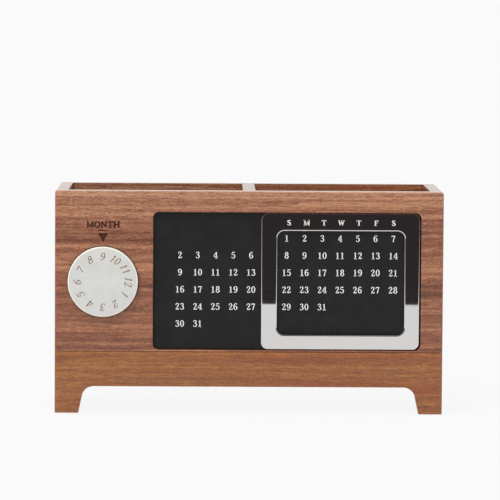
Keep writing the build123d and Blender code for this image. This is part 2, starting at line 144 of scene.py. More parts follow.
def noise(tree, place, along, across, grain="X", detail=2.0, roughness=0.5, distortion=0.0, spread=None):
    """Noise whose spots are along mm long on the grain's axis and across mm wide on the others.

    spread is the part of its range, low and high, that is drawn out to 0 and 1.
    """
    scale = [1 / ((along if axis == grain else across) * MM) for axis in "XYZ"]
    mapped = add(tree, "ShaderNodeMapping", named={"Vector": place, "Scale": scale})
    values = {"Vector": mapped, "Scale": 1.0, "Detail": detail, "Roughness": roughness, "Distortion": distortion}
    spots = add(tree, "ShaderNodeTexNoise", named=values, out="Fac")
    return add(tree, MAP_RANGE, spots, *spread, 0.0, 1.0) if spread else spots


def new_material(name):
    """A material with its node tree, its Principled shader and Object coordinates."""
    material = bpy.data.materials.new(name)
    material.use_nodes = True
    tree = material.node_tree
    return material, tree, tree.nodes["Principled BSDF"], add(tree, "ShaderNodeTexCoord", out="Object")


# ---- materials ---------------------------------------------------------------------------------------------
GRAIN_LEAN = 4.5 * MM  # how far the growth lines stray from the straight
RINGS_TO_GROWTH = 0.6  # how strong the hard-edged rings are beside the soft growth lines
FIBRE_SHARE = 0.32  # how far the fibres move the tone between dark, 0, and light, 1
FLECK_SHARE = 0.36
FIGURE_SHARE = 0.58
PORE_SHARE = 0.42  # how much of a pore's colour covers the wood's
PORE_COLOUR = "56362a"


def walnut(name, tones, grain="X", figure=None, bands=0.44, offset=(0.0, 0.0, 0.0)):
    """Walnut veneer, sliced, oiled and waxed: growth lines, short fibres and open pores, all drawn out along the grain.

    tones are two rows of three hex colours, dark to light, for greyer and for redder heartwood. bands is how strong
    the growth lines are. figure places broad ones: their lowest and highest place on Z and a colour ramp's stops.
    """
    material, tree, shader, place = new_material(name)
    moved = add(tree, "ShaderNodeMapping", named={"Vector": place, "Location": offset})
    sway = weighted(tree, -0.5, (1.0, noise(tree, moved, 110, 40, grain)))
    lean = [0.0 if axis == grain else GRAIN_LEAN for axis in "XYZ"]
    wavy = add(tree, VECTOR_MATH, sway, lean, moved, operation="MULTIPLY_ADD")
    growth = noise(tree, wavy, 420, 2.1, grain, detail=3.0, roughness=0.65, spread=(0.33, 0.67))
    swell = weighted(tree, 0.0, (7.0, noise(tree, wavy, 600, 11.0, grain, detail=1.0)))
    rings = add(tree, MATH, swell, operation="FRACT")
    fibres = noise(tree, wavy, 9.0, 0.7, grain, roughness=0.65, spread=MIDDLE)
    flecks = noise(tree, wavy, 1.6, 0.55, grain, detail=1.0, spread=(0.28, 0.72))
    pores = noise(tree, wavy, 5.0, 0.66, grain, detail=1.0, roughness=0.4, spread=(0.55, 0.72))
    redness = noise(tree, moved, 120, 12, grain, spread=(0.35, 0.65))
    terms = [(bands, growth), (RINGS_TO_GROWTH * bands, rings), (FIBRE_SHARE, fibres), (FLECK_SHARE, flecks)]
    if figure:
        low, high, stops = figure
        height = add(tree, "ShaderNodeSeparateXYZ", wavy, out="Z")
        share = add(tree, MAP_RANGE, height, low, high, 0.0, 1.0)
        terms.append((FIGURE_SHARE, add(tree, COLOUR_RAMP, share, stops=stops)))
        low_end = add(tree, MAP_RANGE, share, 0.0, 0.3, 0.4, 0.0)  # the wood is reddest at its lower edge
        redness = weighted(tree, 0.5, (1.0, low_end), (0.4, redness), (-0.5, share))
    tone = weighted(tree, 0.5 - sum(weight for weight, _ in terms) / 2, *terms)
    greyer, redder = (add(tree, COLOUR_RAMP, tone, stops=list(zip((0.06, 0.5, 0.94), row))) for row in tones)
    colour = add(tree, MIX, named={0: redness, 6: greyer, 7: redder}, out=2, data_type="RGBA")
    open_pores = weighted(tree, 0.0, (PORE_SHARE, pores))
    colour = add(tree, MIX, named={0: open_pores, 6: colour, 7: hex_colour(PORE_COLOUR)}, out=2, data_type="RGBA")
    relief = weighted(tree, 0.0, (0.5, fibres), (-1.0, pores))
    wire(tree, shader, {
        "Base Color": colour,
        "Roughness": weighted(tree, 0.40, (-0.08, fibres)),
        "IOR": 1.5,
        "Coat Weight": 0.8,
        "Coat Roughness": 0.16,
        "Normal": add(tree, "ShaderNodeBump", named={"Height": relief, "Distance": 0.04 * MM}),
    })
    return material


def bare_wood(name, tones, grain="X"):
    """Sanded plywood, unfinished: pale, nearly matt, with short soft streaks."""
    material, tree, shader, place = new_material(name)
    streaks = noise(tree, place, 30, 1.1, grain, detail=3.0, roughness=0.6, spread=MIDDLE)
    wire(tree, shader, {
        "Base Color": add(tree, COLOUR_RAMP, streaks, stops=list(zip((0.0, 1.0), tones))),
        "Roughness": 0.62,
        "Normal": add(tree, "ShaderNodeBump", named={"Height": streaks, "Distance": 0.02 * MM}),
    })
    return material


def burnt_walnut():
    """The floor of a laser-engraved mark: charred walnut, matt and nearly even."""
    material, tree, shader, place = new_material("laser-engraved walnut")
    char = noise(tree, place, 1.2, 0.3, spread=MIDDLE)
    colour = add(tree, COLOUR_RAMP, char, stops=[(0.0, "32180f"), (1.0, "532c1e")])
    wire(tree, shader, {"Base Color": colour, "Roughness": 0.85})
    return material


def powder_coat():
    """Matt black powder coat on steel sheet: a fine orange peel that breaks up its highlights."""
    material, tree, shader, place = new_material("black powder-coated steel")
    peel = noise(tree, place, 0.5, 0.5)
    dust = noise(tree, place, 9, 9, detail=4.0, spread=MIDDLE)
    wire(tree, shader, {
        "Base Color": add(tree, COLOUR_RAMP, dust, stops=[(0.0, "1c1b1b"), (1.0, "222121")]),
        "Roughness": 0.6,
        "Specular IOR Level": 0.35,
        "Normal": add(tree, "ShaderNodeBump", named={"Height": peel, "Distance": 0.02 * MM}),
    })
    return material


def polished_steel():
    """Stainless steel, buffed to a mirror: its colour is what it reflects, with a faint trace of the buffing."""
    material, tree, shader, place = new_material("mirror-polished stainless steel")
    buffing = noise(tree, place, 22, 3.0, detail=3.0)
    wire(tree, shader, {
        "Base Color": hex_colour("eae8e6"),
        "Metallic": 1.0,
        "Roughness": add(tree, MAP_RANGE, buffing, *MIDDLE, 0.01, 0.025),
        "Normal": add(tree, "ShaderNodeBump", named={"Height": buffing, "Distance": 0.0008 * MM}),
    })
    return material


def turned_metal(name, code, roughness):
    """Turned or plated small metal parts, with fine turning marks."""
    material, tree, shader, place = new_material(name)
    marks = noise(tree, place, 0.25, 4.0, "Y")
    wire(tree, shader, {
        "Base Color": hex_colour(code),
        "Metallic": 1.0,
        "Roughness": add(tree, MAP_RANGE, marks, *MIDDLE, roughness, roughness + 0.12),
        "Normal": add(tree, "ShaderNodeBump", named={"Height": marks, "Distance": 0.01 * MM}),
    })
    return material


def satin_enamel(centre_x, centre_z, highlight_radius):
    """Satin grey-white enamel, sprayed on a turned dial, with a painted highlight: a pale cream ring round its
    chamfered edge, also less rough.
    """
    material, tree, shader, place = new_material("satin grey-white enamel on aluminium")
    centred = add(tree, "ShaderNodeMapping", named={"Vector": place, "Location": (-centre_x, 0.0, -centre_z)})
    flat = add(tree, VECTOR_MATH, centred, (1.0, 0.0, 1.0), operation="MULTIPLY")
    radius = add(tree, VECTOR_MATH, flat, operation="LENGTH", out="Value")
    blur = 0.05 * MM
    painted_ring = add(tree, MAP_RANGE, radius, highlight_radius - blur, highlight_radius + blur, 0.0, 1.0)
    spray = noise(tree, place, 0.9, 0.9, detail=3.0, spread=MIDDLE)
    shade = noise(tree, place, 9, 9, detail=3.0, spread=MIDDLE)
    uneven = weighted(tree, 0.0, (0.7, shade), (0.3, spray))
    painted = add(tree, COLOUR_RAMP, uneven, stops=[(0.0, "c0c0bd"), (1.0, "cbcbc8")])
    # The pale cream ring is a painted highlight on the dial's chamfered edge.
    colour = add(tree, MIX, named={0: painted_ring, 6: painted, 7: hex_colour("f0e6da")}, out=2, data_type="RGBA")
    wire(tree, shader, {
        "Base Color": colour,
        "Roughness": weighted(tree, 0.48, (-0.23, painted_ring)),
        "Normal": add(tree, "ShaderNodeBump", named={"Height": spray, "Distance": 0.004 * MM}),
    })
    return material


def printing_ink(name, code):
    """Screen-printed ink: flat colour with a slightly uneven gloss."""
    material, tree, shader, place = new_material(name)
    cover = noise(tree, place, 0.3, 0.3, detail=1.0)
    wire(tree, shader, {
        "Base Color": hex_colour(code),
        "Roughness": add(tree, MAP_RANGE, cover, *MIDDLE, 0.45, 0.6),
    })
    return material


def nylon():
    """Natural moulded nylon: milky and waxy, with faint flow marks."""
    material, tree, shader, place = new_material("natural nylon")
    flow = noise(tree, place, 2.0, 2.0, spread=MIDDLE)
    wire(tree, shader, {
        "Base Color": add(tree, COLOUR_RAMP, flow, stops=[(0.0, "d2cfc2"), (1.0, "deddd2")]),
        "Roughness": 0.4,
    })
    return material


def felt(name, tones):
    """Pressed wool felt: matt, with short crossed fibres and a fuzzy sheen."""
    material, tree, shader, place = new_material(name)
    fibres = noise(tree, place, 0.9, 0.15, detail=3.0, distortion=1.5, spread=MIDDLE)
    wire(tree, shader, {
        "Base Color": add(tree, COLOUR_RAMP, fibres, stops=list(zip((0.0, 1.0), tones))),
        "Roughness": 0.95,
        "Sheen Weight": 0.3,
        "Normal": add(tree, "ShaderNodeBump", named={"Height": fibres, "Distance": 0.05 * MM}),
    })
    return material


# The front's broad growth lines: (millimetres above the desk, tone from 0, dark, to 1, light). Their heights are
# measured in the photograph, at the front's left and right margins, and their tones are set to look like it. The first,
# the pale edge along the drawer, is a painted highlight, not wood. Lighter wood lies half way between these, and
# TOP_BAND names its own.
DARK_LINES_AND_LIP_HIGHLIGHT = (
    (36.7, 0.95), (38.5, 0.00), (42.6, 0.20), (47.5, 0.14), (51.8, 0.30), (56.4, 0.32), (61.3, 0.20), (70.9, 0.05),
    (75.6, 0.02), (94.8, 0.42), (101.2, 0.14), (106.3, 0.26), (112.0, 0.45),
)
NARROW_GAP_TONE = 0.4
TONE_PER_MM = 0.022  # the wider the gap between two dark lines, the lighter the wood in its middle
LIGHTEST_GAP_TONE = 0.92
TOP_BAND = ((115.5, 1.0), (119.2, 0.52), (122.4, 1.0), (125.0, 0.68), (127.4, 1.0))


def front_figure():
    """The front's growth lines for walnut(): dark lines with lighter wood half way between them, and the painted
    highlight along the drawer.
    """
    low, high = DARK_LINES_AND_LIP_HIGHLIGHT[0][0], TOP_BAND[-1][0]
    stops = []
    for (z, tone), (next_z, _) in zip(DARK_LINES_AND_LIP_HIGHLIGHT, [*DARK_LINES_AND_LIP_HIGHLIGHT[1:], TOP_BAND[0]]):
        gap = next_z - z
        stops += [(z, tone), (z + gap / 2, min(NARROW_GAP_TONE + TONE_PER_MM * gap, LIGHTEST_GAP_TONE))]
    return low * MM, high * MM, [((z - low) / (high - low), tone) for z, tone in (*stops, *TOP_BAND)]


# Dark, middle and light wood of each walnut, in a greyer and a redder row. The others are dark and light.
UPPER_TONES = (("5e3628", "8f5c45", "bc8a6c"), ("673622", "92583a", "b97f56"))
LOWER_TONES = (("713f22", "935825", "b67d42"), ("6c371a", "8c491c", "ab6a30"))
# The well's divider and floor take a darker copy of the walnut: painted shade inside the well.
SHADED_INSIDE_TONES = (("583729", "825843", "a07862"), ("593424", "82533b", "a07254"))
BARE_TONES = ("a98359", "c6a277")
BASE_TONES = ("8d6a48", "a98460")
BEECH_TONES = ("c09a6c", "d2b084")
BLACK_FELT_TONES = ("1c1c1c", "333333")
BROWN_FELT_TONES = ("46382e", "6a574a")

paint = {
    "front_panel": walnut("walnut veneer, front", UPPER_TONES, figure=front_figure(), bands=0.32),
    "drawer_front": walnut("walnut veneer, drawer", LOWER_TONES, bands=0.28, offset=(0.31, 0.0, 0.07)),
    "left_side_panel": walnut("walnut veneer, left side", UPPER_TONES, "Y", offset=(0.0, 0.21, 0.4)),
    "right_side_panel": walnut("walnut veneer, right side", UPPER_TONES, "Y", offset=(0.0, 0.57, 0.9)),
    "back_panel": walnut("walnut veneer, back", UPPER_TONES, offset=(0.83, 0.2, 0.5)),
    "centre_divider": walnut("walnut veneer, divider", SHADED_INSIDE_TONES, "Y", offset=(0.4, 0.1, 0.2)),
    "compartment_floor": walnut("walnut veneer, well floor", SHADED_INSIDE_TONES, offset=(0.1, 0.7, 0.3)),
    "drawer_base": bare_wood("sanded poplar plywood", BASE_TONES),
    "drawer_left_side": bare_wood("sanded birch plywood, side", BARE_TONES, "Y"),
    "drawer_back": bare_wood("sanded birch plywood", BARE_TONES),
    "front_panel_dowels": bare_wood("beech dowel", BEECH_TONES, "Y"),
    "date_plate": powder_coat(),
    "weekday_slider": polished_steel(),
    "slider_magnets": turned_metal("nickel-plated magnet", "b9b7b2", 0.18),
    "month_dial": satin_enamel(DIAL_X, DIAL_Z, (dial_high[0] - dial_low[0]) / 2 - DIAL_HIGHLIGHT_RING),
    "dial_spindle": turned_metal("turned steel", "a9a9ab", 0.3),
    "dial_bush": turned_metal("turned brass", "c9a35a", 0.28),
    "spindle_clip": turned_metal("spring steel", "6f6c6a", 0.35),
    "thrust_washer": nylon(),
    "dial_felt_washer": felt("black wool felt", BLACK_FELT_TONES),
    "foot_pads": felt("brown wool felt", BROWN_FELT_TONES),
}
same_as = {
    "drawer_right_side": "drawer_left_side",
    "drawer_bottom": "drawer_back",
    "drawer_dowels": "front_panel_dowels",
    "back_panel_dowels": "drawer_back",
}
for node_name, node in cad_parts.items():
    node.data.materials.clear()
    node.data.materials.append(paint[same_as.get(node_name, node_name)])


# ---- lettering ---------------------------------------------------------------------------------------------
# A glyph is a list of pen strokes. A stroke's points are (x, y, weight): y runs from the foot line at 0 to the top at
# 1, and weight from 0, the pen's hairline, to 1, its full width.
OVAL_POINTS = 16
PEN_STEPS = 4  # straight pieces between two points of a curved stroke
PRINT_PEN = (0.075, 0.15)  # hairline and full width, as shares of a glyph's height
WEEKDAY_PEN = (0.09, 0.23)
LABEL_PEN = (0.17, 0.28)
DIAL_PEN = (0.075, 0.14)
PRINT_STRETCH = 1.1  # how much wider the glyphs are than drawn
WEEKDAY_STRETCH = 1.25
LABEL_STRETCH = 1.27
DIAL_STRETCH = 1.15
DIAL_SLANT = 0.24
GLYPH_MIDDLE = 0.3  # of a digit, across


def oval(x, y, half_width, half_height):
    """A closed stroke, heavy at its sides and thin at its top and foot."""
    turns = [2 * pi * i / OVAL_POINTS for i in range(OVAL_POINTS + 1)]
    return [(x + half_width * sin(t), y + half_height * cos(t), abs(sin(t)) ** 1.5) for t in turns]


def feet(*spans, y=0.035):
    """Serifs: flat hairlines at the foot or the top of a stem."""
    return [[(low, y, 0.0), (high, y, 0.0)] for low, high in spans]


SIX = [  # and, turned over, the 9
    (0.49, 0.82, 0.7), (0.42, 0.93, 0.2), (0.31, 0.96, 0.0), (0.15, 0.78, 0.7), (0.10, 0.47, 1.0), (0.15, 0.16, 0.6),
    (0.30, 0.04, 0.0), (0.45, 0.14, 0.6), (0.50, 0.31, 1.0), (0.44, 0.50, 0.5), (0.30, 0.58, 0.0), (0.16, 0.50, 0.1),
]
STROKES = {
    "0": [oval(0.30, 0.50, 0.20, 0.455)],
    "1": [[(0.15, 0.82, 0.0), (0.25, 0.87, 0.3), (0.31, 0.96, 0.3)], [(0.32, 0.98, 0.9), (0.32, 0.02, 0.9)]],
    "2": [
        [(0.11, 0.71, 0.8), (0.13, 0.87, 0.2), (0.28, 0.96, 0.0), (0.44, 0.87, 0.7), (0.44, 0.67, 0.9),
         (0.28, 0.38, 0.3), (0.08, 0.08, 0.0)],
        [(0.08, 0.09, 0.5), (0.36, 0.08, 0.7), (0.50, 0.11, 0.3), (0.53, 0.25, 0.0)],
    ],
    "3": [
        [(0.11, 0.77, 0.7), (0.16, 0.91, 0.2), (0.28, 0.96, 0.0), (0.43, 0.87, 0.7), (0.42, 0.67, 0.7),
         (0.23, 0.54, 0.0)],
        [(0.23, 0.54, 0.0), (0.43, 0.47, 0.6), (0.49, 0.28, 1.0), (0.42, 0.10, 0.5), (0.27, 0.04, 0.0),
         (0.13, 0.09, 0.2), (0.10, 0.22, 0.7)],
    ],
    "4": [
        [(0.42, 0.98, 0.9), (0.42, 0.02, 0.9)],
        [(0.40, 0.96, 0.1), (0.06, 0.30, 0.1)],
        [(0.04, 0.29, 0.2), (0.59, 0.29, 0.2)],
    ],
    "5": [
        [(0.13, 0.91, 0.7), (0.50, 0.92, 0.6)],
        [(0.14, 0.94, 0.0), (0.12, 0.52, 0.0)],
        [(0.12, 0.53, 0.0), (0.28, 0.61, 0.0), (0.45, 0.52, 0.6), (0.50, 0.31, 1.0), (0.42, 0.10, 0.5),
         (0.26, 0.04, 0.0), (0.13, 0.09, 0.2), (0.10, 0.21, 0.7)],
    ],
    "6": [SIX],
    "7": [
        [(0.08, 0.90, 0.8), (0.55, 0.90, 0.7)],
        [(0.08, 0.96, 0.0), (0.08, 0.75, 0.0)],
        [(0.53, 0.88, 0.3), (0.36, 0.48, 0.6), (0.29, 0.02, 0.9)],
    ],
    "8": [oval(0.30, 0.745, 0.16, 0.215), oval(0.30, 0.275, 0.20, 0.235)],
    "9": [[(2 * GLYPH_MIDDLE - x, 1 - y, weight) for x, y, weight in SIX]],
    "F": [
        [(0.18, 0.97, 0.9), (0.18, 0.03, 0.9)],
        [(0.18, 0.95, 0.0), (0.58, 0.95, 0.0)],
        [(0.57, 0.97, 0.0), (0.59, 0.72, 0.0)],
        [(0.18, 0.52, 0.0), (0.42, 0.52, 0.0)],
        [(0.42, 0.64, 0.0), (0.42, 0.40, 0.0)],
    ],
    "H": [
        [(0.16, 0.97, 0.9), (0.16, 0.03, 0.9)],
        [(0.70, 0.97, 0.9), (0.70, 0.03, 0.9)],
        [(0.16, 0.50, 0.1), (0.70, 0.50, 0.1)],
    ],
    "M": [
        [(0.14, 0.97, 0.1), (0.14, 0.03, 0.1)],
        [(0.15, 0.96, 0.9), (0.46, 0.06, 0.7)],
        [(0.46, 0.06, 0.1), (0.78, 0.96, 0.1)],
        [(0.79, 0.97, 0.9), (0.79, 0.03, 0.9)],
    ],
    "N": [
        [(0.14, 0.97, 0.1), (0.14, 0.03, 0.1)],
        [(0.14, 0.95, 0.9), (0.70, 0.05, 0.9)],
        [(0.70, 0.97, 0.1), (0.70, 0.03, 0.1)],
    ],
    "O": [oval(0.42, 0.50, 0.33, 0.455)],
    "S": [
        [(0.50, 0.74, 0.1), (0.45, 0.90, 0.2), (0.30, 0.96, 0.0), (0.14, 0.87, 0.6), (0.15, 0.66, 0.8),
         (0.32, 0.52, 1.0), (0.48, 0.36, 0.9), (0.50, 0.17, 0.7), (0.38, 0.05, 0.1), (0.24, 0.04, 0.0),
         (0.12, 0.12, 0.2), (0.09, 0.28, 0.1)],
    ],
    "T": [
        [(0.37, 0.97, 0.9), (0.37, 0.03, 0.9)],
        [(0.04, 0.95, 0.0), (0.70, 0.95, 0.0)],
        [(0.05, 0.97, 0.0), (0.04, 0.73, 0.0)],
        [(0.69, 0.97, 0.0), (0.70, 0.73, 0.0)],
    ],
    "W": [
        [(0.10, 0.96, 0.9), (0.29, 0.04, 0.7)],
        [(0.29, 0.04, 0.1), (0.47, 0.92, 0.1)],
        [(0.46, 0.96, 0.9), (0.65, 0.04, 0.7)],
        [(0.65, 0.04, 0.1), (0.84, 0.96, 0.1)],
    ],
}
SERIFS = {
    "1": feet((0.12, 0.52)),
    "4": feet((0.26, 0.58)),
    "F": feet((0.03, 0.35)),
    "H": feet((0.02, 0.31), (0.55, 0.84)) + feet((0.02, 0.31), (0.55, 0.84), y=0.965),
    "M": feet((0.02, 0.27), (0.65, 0.94)) + feet((0.0, 0.2), (0.76, 0.94), y=0.965),
    "N": feet((0.02, 0.27)) + feet((0.0, 0.2), (0.57, 0.83), y=0.965),
    "T": feet((0.21, 0.53)),
    "W": feet((-0.02, 0.22), (0.34, 0.56), (0.74, 0.95), y=0.965),
}


def pen_path(points):
    """A stroke's points with the curve between them filled in. A stroke of two points is straight."""
    if len(points) == 2:
        return [Vector(p) for p in points]
    closed = points[0][:2] == points[-1][:2]
    before = points[-2] if closed else points[0]
    after = points[1] if closed else points[-1]
    p = [Vector(q) for q in (before, *points, after)]
    path = []
    for i in range(1, len(p) - 2):
        for step in range(PEN_STEPS):
            t = step / PEN_STEPS
            path.append(0.5 * (2 * p[i] + (p[i + 1] - p[i - 1]) * t
                               + (2 * p[i - 1] - 5 * p[i] + 4 * p[i + 1] - p[i + 2]) * t**2
                               + (3 * p[i] - p[i - 1] - 3 * p[i + 1] + p[i + 2]) * t**3))
    return path + [p[-2]]


def lay_stroke(shape, points, pen, height, stretch, slant, depth):
    """Adds one stroke to a bmesh as a closed slab, from z = 0 up to depth."""
    path = pen_path([(x * stretch, y, weight) for x, y, weight in points])
    hairline, full = pen
    rings = []
    for i, point in enumerate(path):
        ahead = path[min(i + 1, len(path) - 1)] - path[max(i - 1, 0)]
        side = Vector((-ahead.y, ahead.x)).normalized()
        width = hairline + (full - hairline) * min(max(point.z, 0.0), 1.0)
        corners = []
        for edge, z in ((0.5, depth), (-0.5, depth), (-0.5, 0.0), (0.5, 0.0)):
            x = point.x + edge * width * side.x
            y = point.y + edge * width * side.y
            corners.append(shape.verts.new(((x + slant * (y - 0.5)) * height, y * height, z)))
        rings.append(corners)
    for one, other in zip(rings, rings[1:]):
        for k in range(4):
            shape.faces.new((one[k], one[(k + 1) % 4], other[(k + 1) % 4], other[k]))
    shape.faces.new(rings[0][::-1])
    shape.faces.new(rings[-1])


def glyph_mesh(name, character, pen, height, depth, stretch=1.0, slant=0.0, serifs=True):
    """A digit or a letter on the XY plane, facing +Z, centred on the origin."""
    shape = bmesh.new()
    strokes = STROKES[character] + (SERIFS.get(character, []) if serifs else [])
    for stroke in strokes:
        lay_stroke(shape, stroke, pen, height, stretch, slant, depth)
    bmesh.ops.recalc_face_normals(shape, faces=shape.faces)
    places = [v.co.x for v in shape.verts]
    middle = (min(places) + max(places)) / 2
    bmesh.ops.translate(shape, verts=shape.verts, vec=(-middle, -height / 2, 0))
    mesh = bpy.data.meshes.new(name)
    shape.to_mesh(mesh)
    shape.free()
    return mesh


def glyph_box(name, characters, pen, height, stretch=1.0, slant=0.0, serifs=True):
    """A collection of glyphs in this order, for a tree to pick from."""
    box = bpy.data.collections.new(name)
    for index, character in enumerate(characters):
        label = f"{name}_{index:02d}"
        mesh = glyph_mesh(label, character, pen, height, INK_THICKNESS, stretch, slant, serifs)
        box.objects.link(bpy.data.objects.new(label, mesh))
    return box


# ---- geometry trees for the printed rows and rings ---------------------------------------------------------
SOCKET_KINDS = {
    "float": "NodeSocketFloat",
    "int": "NodeSocketInt",
    "box": "NodeSocketCollection",
    "ink": "NodeSocketMaterial",
}


def new_tree(name, **inputs):
    """A geometry tree and its inputs, each given as its name and one of SOCKET_KINDS."""
    tree = bpy.data.node_groups.new(name, "GeometryNodeTree")
    for label, kind in inputs.items():
        tree.interface.new_socket(name=label, in_out="INPUT", socket_type=SOCKET_KINDS[kind])
    tree.interface.new_socket(name="Geometry", in_out="OUTPUT", socket_type="NodeSocketGeometry")
    return tree, add(tree, "NodeGroupInput").node.outputs


def stored(tree, points, name, value):
    """Keeps a number on each point. Returns the points, and the number as it is read back after they move."""
    attribute = {"Geometry": points, "Name": name, "Value": value}
    kept = add(tree, "GeometryNodeStoreNamedAttribute", named=attribute, data_type="FLOAT", domain="POINT")
    return kept, add(tree, "GeometryNodeInputNamedAttribute", name, data_type="FLOAT")


def picked(tree, points, box, index, selection=True, rotation=(0.0, 0.0, 0.0)):
    """Instances of one glyph of a box on each point, chosen by index."""
    glyphs = add(tree, "GeometryNodeCollectionInfo", named={
        "Collection": box, "Separate Children": True, "Reset Children": True})
    return add(tree, "GeometryNodeInstanceOnPoints", named={
        "Points": points, "Instance": glyphs, "Pick Instance": True, "Instance Index": index, "Selection": selection,
        "Rotation": rotation})


def close_tree(tree, parts, ink):
    """Joins the instances, makes them real and inks them."""
    joined = add(tree, "GeometryNodeJoinGeometry")
    for part in parts:
        tree.links.new(part, joined.node.inputs[0])
    real = add(tree, "GeometryNodeRealizeInstances", joined)
    add(tree, "NodeGroupOutput", add(tree, "GeometryNodeSetMaterial", named={"Geometry": real, "Material": ink}))


def two_digits(tree, points, box, value, advance, along, rotation=(0.0, 0.0, 0.0)):
    """Tens and ones side by side on each point, and a lone digit in its middle."""
    is_long = add(tree, MATH, value, 9.5, operation="GREATER_THAN")  # 10 or more
    tens = add(tree, MATH, add(tree, MATH, value, 10.0, operation="DIVIDE"), operation="FLOOR")
    ones = add(tree, MATH, value, 10.0, operation="MODULO")
    gap = add(tree, MATH, advance, is_long, operation="MULTIPLY")
    parts = []
    for half, digit, selection in ((-0.5, tens, is_long), (0.5, ones, True)):
        shift = add(tree, VECTOR_MATH, along, named={"Scale": weighted(tree, 0.0, (half, gap))}, operation="SCALE")
        moved = add(tree, "GeometryNodeSetPosition", named={"Geometry": points, "Offset": shift})
        parts.append(picked(tree, moved, box, digit, selection, rotation))
    return parts


def dates_tree(first_day_column=6, last_day=31, week=7):
    """Dates in columns, each row a week on from the one above it, so that the window always frames whole weeks.

    The first date stands in the top row, in first_day_column, counted from 0 at the left.
    """
    tree, given = new_tree("dates in columns", **{
        "Columns": "int", "Rows": "int", "Column pitch": "float", "Row pitch": "float", "Advance": "float",
        "Digits": "box", "Ink": "ink"})
    width = add(tree, MATH, weighted(tree, -1.0, (1.0, given["Columns"])), given["Column pitch"], operation="MULTIPLY")
    height = add(tree, MATH, weighted(tree, -1.0, (1.0, given["Rows"])), given["Row pitch"], operation="MULTIPLY")
    grid = add(tree, "GeometryNodeMeshGrid", width, height, given["Columns"], given["Rows"])
    place = add(tree, "ShaderNodeSeparateXYZ", add(tree, "GeometryNodeInputPosition")).node.outputs
    from_left = weighted(tree, place["X"], (0.5, width))
    from_top = weighted(tree, 0.0, (0.5, height), (-1.0, place["Y"]))
    column, row = (
        add(tree, MATH, add(tree, MATH, distance, given[pitch], operation="DIVIDE"), operation="ROUND")
        for distance, pitch in ((from_left, "Column pitch"), (from_top, "Row pitch")))
    day = weighted(tree, 1.0 - first_day_column, (float(week), row), (1.0, column))
    points, date = stored(tree, grid, "date", day)
    early = add(tree, MATH, date, 0.5, operation="LESS_THAN")
    late = add(tree, MATH, date, last_day + 0.5, operation="GREATER_THAN")
    outside = add(tree, MATH, early, late, operation="ADD")
    kept = add(tree, "GeometryNodeDeleteGeometry", points, outside, domain="POINT")
    along = add(tree, "ShaderNodeCombineXYZ", 1.0)
    close_tree(tree, two_digits(tree, kept, given["Digits"], date, given["Advance"], along), given["Ink"])
    return tree


def dial_tree():
    """Numbers from 1 round a dial, clockwise, with their tops outwards and the number Top at twelve o'clock."""
    tree, given = new_tree("numbers round a dial", **{
        "Count": "int", "Top": "int", "Radius": "float", "Advance": "float", "Digits": "box", "Ink": "ink"})
    number = weighted(tree, 1.0, (1.0, add(tree, "GeometryNodeInputIndex")))
    step = add(tree, MATH, 2 * pi, given["Count"], operation="DIVIDE")
    angle = add(tree, MATH, weighted(tree, number, (-1.0, given["Top"])), step, operation="MULTIPLY")
    sine, cosine = (add(tree, MATH, angle, operation=wave) for wave in ("SINE", "COSINE"))
    outwards = add(tree, "ShaderNodeCombineXYZ", sine, cosine)
    place = add(tree, VECTOR_MATH, outwards, named={"Scale": given["Radius"]}, operation="SCALE")
    ring = add(tree, "GeometryNodePoints", given["Count"], place)
    along = add(tree, "ShaderNodeCombineXYZ", cosine, weighted(tree, 0.0, (-1.0, sine)))
    turned = add(tree, "ShaderNodeCombineXYZ", 0.0, 0.0, weighted(tree, 0.0, (-1.0, angle)))
    points, value = stored(tree, ring, "number", number)
    close_tree(tree, two_digits(tree, points, given["Digits"], value, given["Advance"], along, turned), given["Ink"])
    return tree


def row_tree():
    """Glyphs in a row, in their box's own order."""
    tree, given = new_tree("letters in a row", **{"Count": "int", "Pitch": "float", "Letters": "box", "Ink": "ink"})
    index = add(tree, "GeometryNodeInputIndex")
    place = add(tree, "ShaderNodeCombineXYZ", add(tree, MATH, index, given["Pitch"], operation="MULTIPLY"))
    points = add(tree, "GeometryNodePoints", given["Count"], place)
    close_tree(tree, [picked(tree, points, given["Letters"], index)], given["Ink"])
    return tree


def upright(x, y, z):
    """Stands a drawing on the XY plane up, so that it faces the front at this place."""
    return Matrix.Translation((x, y, z)) @ Matrix.Rotation(pi / 2, 4, "X")


def grown(name, tree, place, body, **values):
    """The tree's result as a plain mesh that rides on a body."""
    grower = bpy.data.objects.new(name + "_grower", bpy.data.meshes.new(name + "_grower"))
    bpy.context.scene.collection.objects.link(grower)
    modifier = grower.modifiers.new("tree", "NODES")
    modifier.node_group = tree
    for socket in tree.interface.items_tree:
        if socket.in_out == "INPUT":
            modifier[socket.identifier] = values[socket.name.lower().replace(" ", "_")]
    seen = bpy.context.evaluated_depsgraph_get()
    mesh = bpy.data.meshes.new_from_object(grower.evaluated_get(seen), preserve_all_data_layers=True, depsgraph=seen)
    bpy.data.objects.remove(grower)
    mesh.name = name
    mesh.transform(place)
    piece = bpy.data.objects.new(name, mesh)
    bpy.context.scene.collection.objects.link(piece)
    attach(piece, body)


white_ink = printing_ink("white screen ink", "e9e9e6")
silver_ink = printing_ink("pale grey screen ink", "e4dfda")
tan_ink = printing_ink("tan pad ink", "8a6b4a")
digits = "0123456789"
print_digits = glyph_box("print_digit", digits, PRINT_PEN, DATE_HEIGHT, PRINT_STRETCH)
dial_digits = glyph_box(
    "dial_digit", digits, DIAL_PEN, MONTH_NUMBER_HEIGHT, DIAL_STRETCH, slant=DIAL_SLANT, serifs=False)
weekday_letters = glyph_box("weekday_letter", WEEKDAYS, WEEKDAY_PEN, WEEKDAY_HEIGHT, WEEKDAY_STRETCH)

